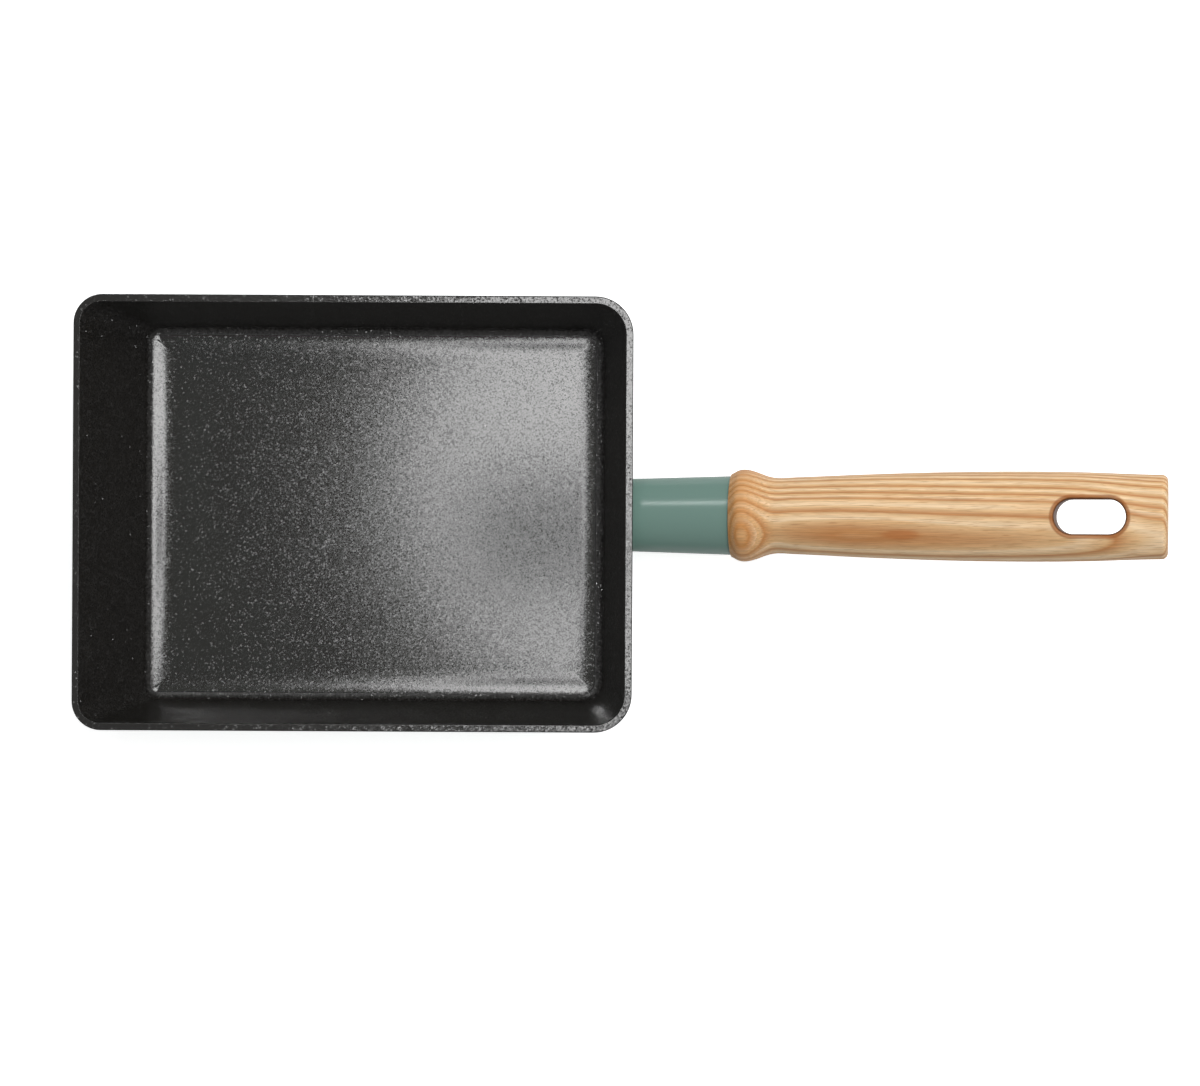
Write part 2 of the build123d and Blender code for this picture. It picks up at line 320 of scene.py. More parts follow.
@dataclass(frozen=True)
class OiledAsh(Finish):
    """Turned ash under oil: year rings cut aslant, open pores, a stain and a hanging slot with a darker edge
    and painted shade inside.

    The rings are bent sheets 1.4 to 2.7 mm apart that lean across the grip, so the round wood cuts them
    into lines along its upper half, into wide flames below and into an eye on the bulge. The eye sees a
    brown line at each ring, pale wood between the lines, and fine dark pores along the fibres.
    """

    # The rings: their lean, where the uppermost line lies, and the rings' widths from there down
    ring_lean: float = 22.65
    ring_start: float = 11.77
    ring_widths: tuple[float, ...] = (1.45, 1.92, 2.40, 1.42, 1.86, 2.68, 2.00)
    late_side: float = 0.75
    early_side: float = 0.3
    line_colour: str = "#BE8350"
    pale_colour: str = "#F0D3AC"
    # How the sheets bend along the grip, and how far they wander
    bend_station: float = 100.0
    bend_slope: float = -0.0095
    bend_rate: float = -0.00027
    wander: float = 0.25
    waves: Noise = Noise(83.3, 10.0, 2.0)
    # Honey streaks, fibres that shade the wood, and dark pores. One fibre is too fine to show, so they
    # are drawn as bundles 0.4 mm wide
    streaks: Noise = Noise(40.0, 2.22, 2.0)
    streak_band: Band = Band(0.5, 0.68, 0.35)
    streak_colour: str = "#D2A068"
    fibres: Noise = Noise(11.1, 0.385, 3.0)
    fibre_span: Pair = (0.3, 0.7)
    fibre_shade: Pair = (0.84, 1.12)
    fibre_height: float = 0.02
    pores: Noise = Noise(5.56, 0.238, 1.0)
    pore_band: Band = Band(0.55, 0.7, 0.5)
    pore_colour: str = "#B07A48"
    # The stain in the middle of the grip: its place, its half length and width, and its fade in those
    stain_place: Triple = (91.5, -6.0, 0.0)
    stain_reach: Pair = (8.0, 1.9)
    stain_band: Band = Band(1.5, 1.0, 0.75)
    stain_colour: str = "#B7723F"
    # The bulge, whose end grain drinks more oil, the slot's darker brown edge, and painted shade inside the
    # slot
    bulge_band: Band = Band(54.0, 38.0, 0.6)
    bulge_colour: str = "#C88848"
    slot_station: float = 150.8
    slot_straight: float = 11.4
    slot_edge_band: Band = Band(7.3, 6.6, 0.8)
    slot_edge_colour: str = "#9A5A28"
    slot_shade_band: Band = Band(6.2, 5.6, 0.9)
    slot_shade_colour: str = "#5E3418"

    def detail(self, tree: NodeTree, shader: Node) -> None:
        """Cut the year rings with the grip's surface and lay fibres, pores and marks over them.

        Args:
            tree: The material's node tree.
            shader: Its main shader.
        """
        terms = {0: self.place(tree), 1: HANDLE_ROOT}
        local = add_node(tree, VECTORS, terms, operation="SUBTRACT")
        turn = (0, radians(HANDLE_RISE), 0)
        along = add_node(tree, "ShaderNodeMapping", {"Vector": local, "Rotation": turn})
        noises = (self.waves, self.streaks, self.fibres, self.pores)
        waves, streaks, fibres, pores = (noise.spread(tree, along) for noise in noises)
        colour = self.rings(tree, along, waves)
        for mask, tint in (
            (self.streak_band.mask(tree, streaks), self.streak_colour),
            (self.pore_band.mask(tree, pores), self.pore_colour),
            *self.marks(tree, along, fibres),
        ):
            inputs = {"Factor": mask, "A": colour, "B": linear(tint)}
            colour = add_node(tree, "ShaderNodeMix", inputs, data_type="RGBA")
        low, high = self.fibre_span
        dark, light = self.fibre_shade
        span = {"From Min": low, "From Max": high, "To Min": dark, "To Max": light}
        shade = add_node(tree, "ShaderNodeMapRange", {"Value": fibres, **span})
        shaded = add_node(tree, VECTORS, {0: colour, "Scale": shade}, operation="SCALE")
        tree.links.new(shaded.outputs[0], shader.inputs["Base Color"])
        self.emboss(tree, shader, fibres, self.fibre_height)

    def rings(self, tree: NodeTree, along: Node, waves: Node) -> Node:
        """Colour the year rings: a brown late line that fades into pale early wood.

        Args:
            tree: The material's node tree.
            along: The point in the grip's own frame.
            waves: A slow noise that makes the rings wander.

        Returns:
            The node that gives the colour.
        """
        across = (0.0, -sin(radians(self.ring_lean)), cos(radians(self.ring_lean)))
        depth = add_node(tree, VECTORS, {0: along, 1: across}, operation="DOT_PRODUCT")
        known = {
            "station": add_node(tree, "ShaderNodeSeparateXYZ", {0: along}).outputs["X"],
            "depth": depth.outputs["Value"],
            "wave": waves,
        }
        period = sum(self.ring_widths)
        steps = (
            ("past bend", "SUBTRACT", "station", self.bend_station),
            ("bend", "MULTIPLY_ADD", "past bend", self.bend_rate, self.bend_slope),
            ("bent", "MULTIPLY_ADD", "past bend", "bend", "depth"),
            ("wandering", "MULTIPLY_ADD", "wave", 2 * self.wander, "bent"),
            ("under start", "SUBTRACT", self.ring_start + self.wander, "wandering"),
            ("periods", "DIVIDE", "under start", period),
            ("share", "FRACT", "periods"),
        )
        add_steps(tree, MATHS, known, steps)
        tone = add_node(tree, "ShaderNodeValToRGB", {"Fac": known["share"]})
        stops = tone.color_ramp.elements
        for stop in stops:
            stop.color = linear(self.line_colour)
        line = 0.0
        for width in self.ring_widths:
            for place, colour in (
                (line + self.late_side, self.colour),
                (line + width / 2, self.pale_colour),
                (line + width - self.early_side, self.colour),
                (line + width, self.line_colour),
            ):
                if place < period:
                    stops.new(place / period).color = linear(colour)
            line += width
        return tone

    def marks(self, tree: NodeTree, along: Node, fibres: Node) -> Iterator[tuple[Node, str]]:
        """Give the stain, the darker bulge, the slot's darker edge and the painted shade inside it, each as
        a mask and its colour.

        Args:
            tree: The material's node tree.
            along: The point in the grip's own frame.
            fibres: The fibres' noise, which frays the stain.

        Yields:
            The mask's node and the hex colour.
        """
        terms = {0: along, 1: self.stain_place}
        from_stain = add_node(tree, VECTORS, terms, operation="SUBTRACT")
        terms = {0: from_stain, 1: (*(1 / reach for reach in self.stain_reach), 0.0)}
        oval = add_node(tree, VECTORS, terms, operation="MULTIPLY")
        away = add_node(tree, VECTORS, {0: oval}, operation="LENGTH").outputs["Value"]
        station, side, _ = add_node(tree, "ShaderNodeSeparateXYZ", {0: along}).outputs
        known = {"away": away, "fibres": fibres, "station": station}
        steps = (
            ("frayed", "ADD", "away", "fibres"),
            ("behind", "SUBTRACT", "station", self.slot_station),
            ("reach", "ABSOLUTE", "behind"),
            ("past", "SUBTRACT", "reach", self.slot_straight / 2),
            ("ahead", "MAXIMUM", "past", 0.0),
        )
        add_steps(tree, MATHS, known, steps)
        spot = add_node(tree, "ShaderNodeCombineXYZ", {"X": known["ahead"], "Y": side})
        off_slot = add_node(tree, VECTORS, {0: spot}, operation="LENGTH").outputs["Value"]
        yield self.stain_band.mask(tree, known["frayed"]), self.stain_colour
        yield self.bulge_band.mask(tree, station), self.bulge_colour
        # Darker brown towards the slot's edge, and painted shade of the slot's hollow inside it
        yield self.slot_edge_band.mask(tree, off_slot), self.slot_edge_colour
        yield self.slot_shade_band.mask(tree, off_slot), self.slot_shade_colour


class Surface(Enum):
    """Every finish of the pan, by the record's slot or by the side of the casting that it covers."""

    # Ceramic non-stick on the level floor: near-black, with the lamps' soft image breaking into sparkle
    COATING = MineralCoating("ceramic_coating", "#171512", 0.16)
    # The same on the walls, where the spray lands aslant and dries rough: dark, with a dull even sheen
    WALL = MineralCoating(
        "slanted_ceramic_coating", "#161411", 0.2, ior=1.65, lean=2.2, lean_power=0.5, glaze_roughness=0.3
    )
    # The same on the rim, thin over the turned edge: light where it faces the lamp, with coarse specks
    EDGE = MineralCoating("thin_ceramic_coating", "#171512", 0.16, grain=0.45, glaze_lean=0.06)
    # Baked sage enamel on the collar and the pan's outside: a satin with one narrow highlight
    PAINT = SatinEnamel("sage_enamel", "#6F8B82", 0.22)
    # Machined aluminium where the casting is bare: pale and neutral, drawn by fine tool lines
    CASTING = RolledMetal("machined_aluminium", "#C9CBCC", 0.34, metallic=1.0)
    # Rolled ferritic steel: a shade warmer and darker than the casting around it
    SHEET = RolledMetal("ferritic_steel", "#B9B8B5", 0.3, metallic=1.0)
    # Bright zinc on steel: bluish, with short specks instead of lines
    ZINC = RolledMetal("zinc_plated_steel", "#C2C4C8", 0.32, metallic=1.0, lines=Noise(0.6, 0.35, 3.0))
    # Turned stainless steel: the brightest and glossiest of the metals
    STAINLESS = RolledMetal("stainless_steel", "#CFCDC9", 0.22, metallic=1.0, lines=Noise(0.6, 0.35, 3.0))
    # Oiled ash: honey wood under brown lines, with no shine but a faint one on the ridges
    WOOD = OiledAsh("oiled_ash", "#E2BC8C", 0.5)


class FinishShop:
    """Makes each finish once and hands it out again."""

    def __init__(self) -> None:
        """Start with no finish made."""
        self.made: dict[Surface, Material] = {}

    def get(self, surface: Surface) -> Material:
        """Give a surface's material, made on its first use."""
        if surface not in self.made:
            self.made[surface] = surface.value.material()
        return self.made[surface]

    def dress(self, node: str, surface: Surface) -> Object:
        """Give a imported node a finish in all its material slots.

        Args:
            node: The node's name.
            surface: The finish.

        Returns:
            The node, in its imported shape.
        """
        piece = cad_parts[node]
        for slot in piece.material_slots:
            slot.material = self.get(surface)
        return piece


class Zone(IntEnum):
    """Which finish a part of the casting wears."""

    WALL = -1
    COATED = 0
    EDGE = 1
    PAINTED = 2
    BARE = 3


@dataclass(frozen=True)
class WallPoint:
    """Where a ring of the shell meets one wall: in from the rim, up, and the corner's radius there."""

    inset: float
    height: float
    corner: float


@dataclass(frozen=True)
class Ring:
    """A closed line round the pan: where it meets the walls, its zone and how far it shrinks to a point."""

    front: WallPoint
    rear: WallPoint
    side: WallPoint
    zone: Zone
    shrink: float = 0.0


# The names under which the rings' points carry their sizes
WALL_NAMES = ("front", "rear", "side")
MARK_NAMES = ("zone", "shrink")


@dataclass(frozen=True)
class CornerRadii:
    """Radius of the front or the rear corners: outside at the foot and at the rim, inside at the floor."""

    base: float
    rim: float
    floor: float


@dataclass
class PanShell:
    """The cast pan as one shell: floor, four leaning walls, rim, underside, studs and the lug."""

    shop: FinishShop
    length: float = 180.0
    width: float = 140.0
    height: float = 37.0
    wall: float = 2.6
    front_draft: float = 30.5
    rear_draft: float = 12.5
    side_draft: float = 11.0
    front_bowl_draft: float = 29.2
    front_corners: CornerRadii = CornerRadii(6.5, 9.5, 4.6)
    rear_corners: CornerRadii = CornerRadii(9.0, 12.4, 6.6)
    # The rim's two edges, and the casting's own outer edge, whose outline they keep to
    rim_round: float = 0.3
    cast_rim_round: float = 0.7
    base_round: float = 5.0
    # The floor, whose border rises softly into the rounding at the walls' foot
    floor: float = 4.2
    floor_round: float = 3.0
    dish_width: float = 8.0
    dish_power: float = 1.5
    front_dish_slope: float = 11.0
    rear_dish_slope: float = 7.0
    side_dish_slope: float = 7.0
    # The pocket for the steel sheet, and the studs that fill the sheet's holes and root in the casting
    pocket_length: float = 118.0
    pocket_width: float = 94.0
    pocket_depth: float = 0.7
    pocket_corner: float = 12.0
    stud_radius: float = 1.85
    stud_pitch: float = 9.0
    stud_margin: float = 7.0
    stud_root: float = 0.1
    # The lug: its length, how far it sinks into the wall, its section and its bore
    lug_length: float = 12.0
    lug_sink: float = 1.3
    lug_sides: Pair = (18.8, 12.0)
    lug_bore: float = 6.2
    bore_overrun: float = 1.1
    # How fine the mesh is: chords of the roundings, rings that hold a flat face flat, facets of round
    # pieces, the distance under which points merge, and the angle over which an edge stays sharp
    corner_steps: int = 14
    dish_steps: int = 9
    round_steps: int = 10
    inner_rim_steps: int = 6
    outer_rim_steps: int = 8
    hold: float = 0.25
    rim_hold: float = 0.0625
    wall_shares: Pair = (0.35, 0.65)
    stud_facets: int = 24
    lug_facets: int = 64
    bore_facets: int = 32
    merge_reach: float = 0.002
    crease: float = 32.0
    # A face wears a zone's finish when its corners' mean comes this close to the zone's number
    zone_reach: float = 0.75

    @property
    def pocket_middle(self) -> float:
        """How far the pocket's middle lies behind the rim's middle."""
        return self.height * (tan(radians(self.front_draft)) - tan(radians(self.rear_draft))) / 2

    def face(self, draft: float, height: float, offset: float) -> float:
        """Give how far a wall's face stands inside the rim.

        Args:
            draft: The wall's lean.
            height: Height over the underside.
            offset: How far the face lies inside the outer one.

        Returns:
            The inset from the rim's outer line.
        """
        return (self.height - height) * tan(radians(draft)) + offset

    def arc(
        self, draft: float, middle: float, offset: float, radius: float, turn: Pair, steps: int
    ) -> list[Pair]:
        """Round the corner between a wall's face and a level one.

        Args:
            draft: The wall's lean.
            middle: Height of the rounding's centre.
            offset: How far the wall's face lies inside the outer one.
            radius: The rounding's radius, negative where its centre lies outside the face.
            turn: First and last angle of the rounding, level outwards being 0.
            steps: How many chords the rounding has.

        Returns:
            Insets and heights along the rounding.
        """
        centre = self.face(draft, middle, offset) + radius / cos(radians(draft))
        first, last = turn
        angles = [radians(first + (last - first) * step / steps) for step in range(steps + 1)]
        size = abs(radius)
        return [(centre - size * cos(angle), middle + size * sin(angle)) for angle in angles]

    def dish(self, slope: float, foot: Pair) -> list[Pair]:
        """Draw the floor's soft border, which rises to the foot of the wall's rounding.

        Args:
            slope: How steeply the border has risen where it meets the rounding.
            foot: Inset and height there.

        Returns:
            Insets and heights from the level floor outwards, without the foot itself.
        """
        rise = self.dish_rise(slope)
        shares = [step / self.dish_steps for step in range(self.dish_steps)]
        return [
            (foot[0] + self.dish_width * (1 - share), self.floor + rise * share ** (self.dish_power + 1))
            for share in shares
        ]

    def dish_rise(self, slope: float) -> float:
        """Give how far the floor's border rises in all."""
        return self.dish_width * tan(radians(slope)) / (self.dish_power + 1)

    def profile(
        self, draft: float, bowl_draft: float, dish_slope: float
    ) -> list[tuple[float, float, bool, Zone]]:
        """Draw one wall's section from the floor over the rim to the underside.

        Args:
            draft: The wall's lean outside.
            bowl_draft: The wall's lean inside.
            dish_slope: How steeply the floor's soft border has risen where it meets the wall's rounding.

        Returns:
            Inset, height, whether the point belongs to the inside, and its zone.
        """
        middle = self.floor + self.dish_rise(dish_slope) + self.floor_round * cos(radians(dish_slope))
        turn = (dish_slope - 90, -bowl_draft)
        bowl = self.arc(bowl_draft, middle, self.wall, self.floor_round, turn, self.round_steps)
        dish = self.dish(dish_slope, bowl[0])
        lip = self.height - self.rim_round
        turn = (180 - draft, 90)
        inner = self.arc(draft, lip, self.wall, -self.rim_round, turn, self.inner_rim_steps)
        # The finer edge moves in until it stands no further out than the casting's own rounder one
        finer = self.cast_rim_round - self.rim_round
        tuck = finer * (tan(radians(draft)) + 1 / cos(radians(draft)) - 1)
        rounding = self.arc(draft, lip, 0, self.rim_round, (90, -draft), self.outer_rim_steps)
        outer = [(inset + tuck, height) for inset, height in rounding]
        foot = self.arc(draft, self.base_round, 0, self.base_round, (-draft, -90), self.round_steps)
        top = [(inner[-1][0] - self.rim_hold, self.height), (outer[0][0] + self.rim_hold, self.height)]
        bottom = [(dish[0][0] + self.hold, self.floor), *dish, bowl[0]]
        walls = [*bowl[1:], *self.between(bowl[-1], inner[0]), *inner]
        outside = [*self.between(outer[-1], foot[0]), *foot, (foot[-1][0] + self.hold, 0)]
        stretches = (
            (bottom, True, Zone.COATED),
            (walls, True, Zone.WALL),
            (top + outer, False, Zone.EDGE),
            (outside, False, Zone.PAINTED),
        )
        return [(*point, inside, zone) for points, inside, zone in stretches for point in points]

    def between(self, start: Pair, end: Pair) -> list[Pair]:
        """Give the rings of a flat wall, with one close to each end to keep its shading flat.

        Args:
            start: Inset and height of the wall's one end.
            end: The same of its other end.

        Returns:
            Insets and heights of the rings between them.
        """
        close = abs(self.hold / (end[1] - start[1]))
        shares = (close, *self.wall_shares, 1 - close)
        return [tuple(a + (b - a) * share for a, b in zip(start, end)) for share in shares]

    def corner(self, radii: CornerRadii, inset: float, height: float, inside: bool) -> float:
        """Give the corner's radius on a ring, from the ring's point on the side wall.

        Args:
            radii: The front or the rear corners' radii.
            inset: The side wall's inset there.
            height: The side wall's height there.
            inside: Whether the ring belongs to the inside.

        Returns:
            The radius, which shrinks by what the ring lies inside the wall's face.
        """
        if inside:
            share = (height - self.floor) / (self.height - self.floor)
            on_face = radii.floor + (radii.rim - self.wall - radii.floor) * share
            return max(on_face - (inset - self.face(self.side_draft, height, self.wall)), self.hold)
        on_face = radii.base + (radii.rim - radii.base) * height / self.height
        return on_face - (inset - self.face(self.side_draft, height, 0))

    def rings(self) -> Iterator[Ring]:
        """Give every ring of the shell in order, the two middles shrunk to a point.

        Yields:
            The next ring on the way from the floor's middle to the underside's.
        """
        walls = (
            self.profile(self.front_draft, self.front_bowl_draft, self.front_dish_slope),
            self.profile(self.rear_draft, self.rear_draft, self.rear_dish_slope),
            self.profile(self.side_draft, self.side_draft, self.side_dish_slope),
        )
        rings = []
        for front, rear, side in zip(*walls):
            inset, height, inside, zone = side
            ends = [
                WallPoint(end[0], end[1], self.corner(radii, inset, height, inside))
                for end, radii in ((front, self.front_corners), (rear, self.rear_corners))
            ]
            rings.append(Ring(*ends, WallPoint(inset, height, 0), zone))
        first = rings[0]
        for shrink in (1.0, 0.5):
            yield Ring(first.front, first.rear, first.side, Zone.COATED, shrink)
        yield from rings
        edges = (
            self.length / 2 + self.pocket_middle - self.pocket_length / 2,
            self.length / 2 - self.pocket_middle - self.pocket_length / 2,
            (self.width - self.pocket_width) / 2,
        )
        deep = self.pocket_depth
        for height, shrink in ((0, 0), (deep, 0), (deep, 0.5), (deep, 1)):
            yield Ring(*(WallPoint(edge, height, self.pocket_corner) for edge in edges), Zone.BARE, shrink)

    def profile_mesh(self) -> Mesh:
        """Keep the rings as loose points that carry their sizes in metres.

        Returns:
            The mesh, with a vector for each wall and a number for zone and shrink.
        """
        rings = list(self.rings())
        mesh = bpy.data.meshes.new("pan_profile")
        mesh.from_pydata([(0, 0, 0)] * len(rings), [], [])
        for name in WALL_NAMES:
            points = [getattr(ring, name) for ring in rings]
            values = [size * MM for point in points for size in (point.inset, point.height, point.corner)]
            mesh.attributes.new(name, "FLOAT_VECTOR", "POINT").data.foreach_set("vector", values)
        for name in MARK_NAMES:
            values = [float(getattr(ring, name)) for ring in rings]
            mesh.attributes.new(name, "FLOAT", "POINT").data.foreach_set("value", values)
        return mesh

    def tree(self) -> NodeTree:
        """Write the rule: a grid of rings by corner steps, bent onto rounded rectangles that lean.

        Returns:
            The geometry tree.
        """
        tree = bpy.data.node_groups.new("cast_shell", "GeometryNodeTree")
        sockets = tree.interface
        sockets.new_socket("Geometry", in_out="OUTPUT", socket_type="NodeSocketGeometry")
        for kind, names in (
            ("Geometry", ("Geometry",)),
            ("Int", ("Rings", "Corner steps", "Stud columns", "Stud rows")),
            ("Float", ("Length", "Width", "Middle")),
            ("Float", ("Stud radius", "Stud height", "Stud pitch", "Lug length")),
            ("Vector", ("Lug place", "Lug turn", "Lug section", "Lug bore")),
            ("Material", ("Coating", "Wall coating", "Edge coating", "Paint", "Bare metal")),
        ):
            for name in names:
                sockets.new_socket(name, in_out="INPUT", socket_type="NodeSocket" + kind)
        given = add_node(tree, "NodeGroupInput").outputs
        joined = add_node(tree, "GeometryNodeJoinGeometry")
        for rule in (self.stud_rule, self.lug_rule, self.shell_rule):
            tree.links.new(rule(tree, given).outputs[0], joined.inputs[0])
        solid = add_node(tree, "GeometryNodeRealizeInstances", {"Geometry": joined})
        smooth = add_node(tree, "GeometryNodeSetShadeSmooth", {"Geometry": solid, "Shade Smooth": True})
        angle = add_node(tree, "GeometryNodeInputMeshEdgeAngle").outputs["Unsigned Angle"]
        terms = {"A": angle, "B": radians(self.crease)}
        sharp = add_node(tree, "FunctionNodeCompare", terms, operation="GREATER_THAN")
        inputs = {"Geometry": smooth, "Selection": sharp, "Shade Smooth": False}
        creased = add_node(tree, "GeometryNodeSetShadeSmooth", inputs, domain="EDGE")
        made = add_node(tree, "GeometryNodeSetMaterial", {"Geometry": creased, "Material": given["Coating"]})
        zone = add_node(tree, "GeometryNodeInputNamedAttribute", {"Name": "zone"}, data_type="FLOAT")
        for name, operation, limit in (
            ("Wall coating", "LESS_THAN", Zone.WALL + self.zone_reach),
            ("Edge coating", "GREATER_THAN", Zone.EDGE - self.zone_reach),
            ("Paint", "GREATER_THAN", Zone.PAINTED - self.zone_reach),
            ("Bare metal", "GREATER_THAN", Zone.BARE - self.zone_reach),
        ):
            chosen = add_node(tree, "FunctionNodeCompare", {"A": zone, "B": limit}, operation=operation)
            inputs = {"Geometry": made, "Selection": chosen, "Material": given[name]}
            made = add_node(tree, "GeometryNodeSetMaterial", inputs)
        add_node(tree, "NodeGroupOutput", {"Geometry": made})
        return tree

    def shell_rule(self, tree: NodeTree, given: NodeOutputs) -> Node:
        """Add the part of the tree that bends the grid onto the walls.

        Args:
            tree: The geometry tree.
            given: The tree's inputs.

        Returns:
            The node that gives the closed shell.
        """
        known = {name.lower(): given[name] for name in ("Length", "Width", "Middle", "Corner steps")}
        known["index"] = add_node(tree, "GeometryNodeInputIndex").outputs[0]
        # Which ring a point of the grid belongs to, and which way it lies from the pan's middle
        steps = (
            ("steps", "ADD", "corner steps", 1.0),
            ("turn", "MULTIPLY", "steps", 4.0),
            ("columns", "ADD", "turn", 1.0),
            ("inner index", "ADD", "index", 0.5),
            ("rows passed", "DIVIDE", "inner index", "columns"),
            ("row", "FLOOR", "rows passed"),
            ("row start", "MULTIPLY", "row", "columns"),
            ("column", "SUBTRACT", "index", "row start"),
            ("step", "MODULO", "column", "turn"),
            ("inner step", "ADD", "step", 0.5),
            ("quarters passed", "DIVIDE", "inner step", "steps"),
            ("quarter", "FLOOR", "quarters passed"),
            ("quarter start", "MULTIPLY", "quarter", "steps"),
            ("step in quarter", "SUBTRACT", "step", "quarter start"),
            ("share", "DIVIDE", "step in quarter", "corner steps"),
            ("turned", "ADD", "quarter", "share"),
            ("angle", "MULTIPLY", "turned", pi / 2),
            ("across", "SINE", "angle"),
            ("along", "COSINE", "angle"),
            ("half turned", "ADD", "quarter", 0.5),
            ("diagonal", "MULTIPLY", "half turned", pi / 2),
            ("diagonal across", "SINE", "diagonal"),
            ("diagonal along", "COSINE", "diagonal"),
            ("side sign", "SIGN", "diagonal across"),
            ("end sign", "SIGN", "diagonal along"),
        )
        add_steps(tree, MATHS, known, steps)
        sampled = {}
        for name in (*WALL_NAMES, *MARK_NAMES):
            kind = "FLOAT_VECTOR" if name in WALL_NAMES else "FLOAT"
            stored = add_node(tree, "GeometryNodeInputNamedAttribute", {"Name": name}, data_type=kind)
            inputs = {"Geometry": given["Geometry"], "Value": stored, "Index": known["row"]}
            sampled[name] = add_node(tree, "GeometryNodeSampleIndex", inputs, data_type=kind)
        terms = {"A": known["end sign"], "B": 0.0}
        at_rear = add_node(tree, "FunctionNodeCompare", terms, operation="GREATER_THAN")
        inputs = {"Switch": at_rear, "False": sampled["front"], "True": sampled["rear"]}
        end = add_node(tree, "GeometryNodeSwitch", inputs, input_type="VECTOR")
        known |= zip(
            ("end inset", "end height", "radius"), add_node(tree, "ShaderNodeSeparateXYZ", {0: end}).outputs
        )
        side = add_node(tree, "ShaderNodeSeparateXYZ", {0: sampled["side"]}).outputs
        known |= {"side inset": side[0], "side height": side[1], "shrink": sampled["shrink"]}
        # Where the point lies: its corner's centre and the swing round it, shrunk towards the middle
        steps = (
            ("half length", "MULTIPLY", "length", 0.5),
            ("end face", "SUBTRACT", "half length", "end inset"),
            ("end reach", "SUBTRACT", "end face", "radius"),
            ("end swing", "MULTIPLY", "radius", "along"),
            ("end place", "MULTIPLY_ADD", "end sign", "end reach", "end swing"),
            ("half width", "MULTIPLY", "width", 0.5),
            ("side face", "SUBTRACT", "half width", "side inset"),
            ("side reach", "SUBTRACT", "side face", "radius"),
            ("side swing", "MULTIPLY", "radius", "across"),
            ("side place", "MULTIPLY_ADD", "side sign", "side reach", "side swing"),
            ("kept", "SUBTRACT", 1.0, "shrink"),
            ("from middle", "SUBTRACT", "end place", "middle"),
            ("x", "MULTIPLY_ADD", "from middle", "kept", "middle"),
            ("y", "MULTIPLY", "side place", "kept"),
            ("lean", "SUBTRACT", "end height", "side height"),
            ("end share", "MULTIPLY", "along", "along"),
            ("z", "MULTIPLY_ADD", "lean", "end share", "side height"),
        )
        add_steps(tree, MATHS, known, steps)
        place = add_node(tree, "ShaderNodeCombineXYZ", {axis.upper(): known[axis] for axis in "xyz"})
        counts = {"Vertices X": given["Rings"], "Vertices Y": known["columns"]}
        grid = add_node(tree, "GeometryNodeMeshGrid", counts)
        bent = add_node(tree, "GeometryNodeSetPosition", {"Geometry": grid, "Position": place})
        marked = self.marked(tree, bent, sampled["zone"])
        inputs = {"Geometry": marked, "Distance": self.merge_reach * MM}
        return add_node(tree, "GeometryNodeMergeByDistance", inputs)

    def marked(self, tree: NodeTree, geometry: Node, zone: object) -> Node:
        """Note on each point which zone it belongs to."""
        inputs = {"Geometry": geometry, "Name": "zone", "Value": zone}
        return add_node(tree, "GeometryNodeStoreNamedAttribute", inputs, data_type="FLOAT", domain="POINT")

    def stud_rule(self, tree: NodeTree, given: NodeOutputs) -> Node:
        """Add the part of the tree that sets a stud into each hole of the steel sheet.

        Args:
            tree: The geometry tree.
            given: The tree's inputs.

        Returns:
            The node that gives the studs.
        """
        names = ("Stud columns", "Stud rows", "Stud pitch", "Stud height")
        known = {name.lower(): given[name] for name in names}
        known["index"] = add_node(tree, "GeometryNodeInputIndex").outputs[0]
        # The field of points half a pitch apart, and whether a point lies an even count from its middle
        steps = (
            ("half pitch", "MULTIPLY", "stud pitch", 0.5),
            ("columns less one", "SUBTRACT", "stud columns", 1.0),
            ("length", "MULTIPLY", "columns less one", "half pitch"),
            ("rows less one", "SUBTRACT", "stud rows", 1.0),
            ("width", "MULTIPLY", "rows less one", "half pitch"),
            ("inner index", "ADD", "index", 0.5),
            ("columns passed", "DIVIDE", "inner index", "stud rows"),
            ("column", "FLOOR", "columns passed"),
            ("column start", "MULTIPLY", "column", "stud rows"),
            ("row", "SUBTRACT", "index", "column start"),
            ("steps from corner", "ADD", "row", "column"),
            ("steps across", "ADD", "columns less one", "rows less one"),
            ("steps to middle", "MULTIPLY", "steps across", 0.5),
            ("steps past middle", "SUBTRACT", "steps from corner", "steps to middle"),
            ("steps from middle", "ABSOLUTE", "steps past middle"),
            ("odd", "MODULO", "steps from middle", 2.0),
            ("half height", "MULTIPLY", "stud height", 0.5),
        )
        add_steps(tree, MATHS, known, steps)
        sides = {"Size X": known["length"], "Size Y": known["width"]}
        counts = {"Vertices X": given["Stud columns"], "Vertices Y": given["Stud rows"]}
        field = add_node(tree, "GeometryNodeMeshGrid", sides | counts)
        centre = add_node(tree, "ShaderNodeCombineXYZ", {"X": given["Middle"], "Z": known["half height"]})
        placed = add_node(tree, "GeometryNodeSetPosition", {"Geometry": field, "Offset": centre})
        sizes = {"Radius": given["Stud radius"], "Depth": given["Stud height"]}
        stud = add_node(tree, "GeometryNodeMeshCylinder", {"Vertices": self.stud_facets, **sizes})
        terms = {"A": known["odd"], "B": 0.5}
        even = add_node(tree, "FunctionNodeCompare", terms, operation="LESS_THAN")
        marked = self.marked(tree, stud, float(Zone.BARE))
        inputs = {"Points": placed, "Selection": even, "Instance": marked}
        return add_node(tree, "GeometryNodeInstanceOnPoints", inputs)

